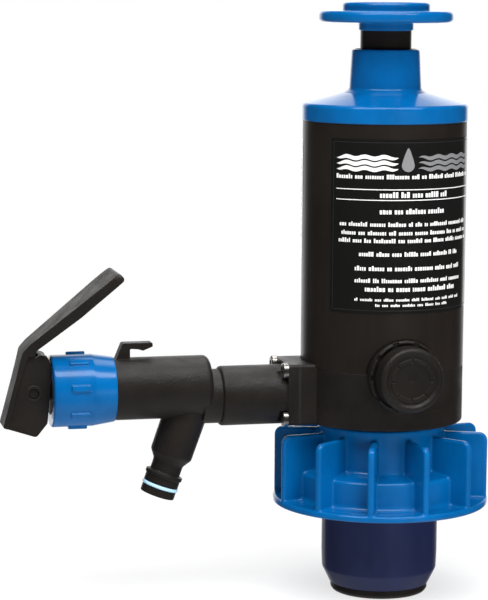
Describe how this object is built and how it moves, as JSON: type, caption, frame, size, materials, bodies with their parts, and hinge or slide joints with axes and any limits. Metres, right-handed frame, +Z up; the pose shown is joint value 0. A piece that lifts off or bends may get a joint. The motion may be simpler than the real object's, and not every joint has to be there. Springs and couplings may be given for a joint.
{
  "type": "drum pump",
  "caption": "Hand-pressurised drum pump: plunger barrel on an expanding bung sleeve with a finned lock ring, side tap with squeeze lever and a relief knob.",
  "frame": {"origin": "centre of the dip-tube mouth at the foot of the neck", "axes": "+Z up along the pump, the tap arm runs along -X, the relief knob faces -Y"},
  "size_m": [0.2358, 0.1042, 0.2838],
  "materials": {
    "black_nylon": "moulded black plastic, fine grain",
    "black_barrel": "satin extruded black plastic",
    "blue_plastic": "bright blue moulded plastic, satin gloss",
    "navy_rubber": "navy elastomer",
    "black_rubber": "black seal rubber",
    "light_blue_rubber": "light blue seal rubber",
    "stainless": "stainless steel",
    "white_nylon": "natural bearing plastic",
    "label_black": "printed film label",
    "label_white": "printed film label"
  },
  "bodies": {
    "pump_base": {"neck_tube": "black_nylon", "neck_oring": "black_rubber", "neck_end_ring": "black_nylon", "bung_sleeve": "navy_rubber", "base_body": "black_nylon", "pump_barrel": "black_barrel", "barrel_oring": "black_rubber", "valve_plate": "black_nylon", "plate_screws": "stainless", "check_valve_cage": "black_nylon", "check_valve_spring": "stainless", "top_cap": "blue_plastic", "cap_oring": "black_rubber", "rod_bush": "white_nylon", "rod_wiper": "black_rubber", "rod_bumper": "black_rubber", "relief_oring": "black_rubber", "flange_gasket": "black_rubber", "outlet_tube": "black_nylon", "flange_screws": "stainless", "tap_body": "black_nylon", "tap_inlet_oring": "black_rubber", "spout_oring": "light_blue_rubber", "tap_bonnet": "black_nylon", "bonnet_oring": "black_rubber", "stem_oring": "black_rubber", "tap_ring_nut": "blue_plastic", "tap_spring": "stainless", "front_label": "label_black", "side_label": "label_white"},
    "plunger": {"plunger_knob": "blue_plastic", "knob_cap": "blue_plastic", "knob_screw": "stainless", "plunger_rod": "black_nylon", "piston": "black_nylon", "piston_seal": "black_rubber", "piston_nut": "stainless"},
    "check_disc": {"check_valve_disc": "black_rubber"},
    "tap_valve": {"tap_stem": "black_nylon", "valve_seal": "black_rubber", "lever_pin": "black_nylon"},
    "lever": {"lever": "black_nylon"},
    "relief_valve": {"relief_stem": "stainless", "relief_seal": "black_rubber"},
    "relief_knob": {"relief_knob": "black_nylon"},
    "slip_washer": {"slip_washer": "white_nylon"},
    "lock_ring": {"lock_ring": "blue_plastic"}
  },
  "joints": [
    {"name": "plunger_stroke", "type": "slide", "parent": "pump_base", "child": "plunger", "axis": [0, 0, 1], "range_m": [-0.008, 0.055]},
    {"name": "check_valve_lift", "type": "slide", "parent": "pump_base", "child": "check_disc", "axis": [0, 0, -1], "range_m": [0, 0.0015], "stiffness_N_per_m": 200, "springref_m": -0.002, "deforming": ["check_valve_spring"]},
    {"name": "tap_stem_slide", "type": "slide", "parent": "pump_base", "child": "tap_valve", "axis": [-1, 0, 0], "range_m": [0, 0.00566], "stiffness_N_per_m": 1500, "springref_m": -0.004, "deforming": ["tap_spring"]},
    {"name": "lever_squeeze", "type": "hinge", "parent": "tap_valve", "child": "lever", "pos_m": [-0.1694, 0, 0.10295], "axis": [0, 1, 0], "range_deg": [0, 28]},
    {"name": "relief_stem_slide", "type": "slide", "parent": "pump_base", "child": "relief_valve", "axis": [0, -1, 0], "range_m": [0, 0.00112]},
    {"name": "relief_knob_turn", "type": "hinge", "parent": "relief_valve", "child": "relief_knob", "pos_m": [0, -0.047, 0.111], "axis": [0, -1, 0], "range_deg": [0, 270]},
    {"name": "slip_washer_slide", "type": "slide", "parent": "pump_base", "child": "slip_washer", "axis": [0, 0, -1], "range_m": [0, 0.0041], "deforming": ["bung_sleeve"]},
    {"name": "lock_ring_turn", "type": "hinge", "parent": "slip_washer", "child": "lock_ring", "pos_m": [0, 0, 0.05], "axis": [0, 0, -1], "range_deg": [0, 360]}
  ],
  "couplings": [
    {"joint": "lever_squeeze", "follows": "tap_stem_slide", "rad_per_m": 86.207},
    {"joint": "relief_knob_turn", "follows": "relief_stem_slide", "rad_per_m": 4188.8},
    {"joint": "slip_washer_slide", "follows": "lock_ring_turn", "m_per_rad": 0.00063662}
  ]
}
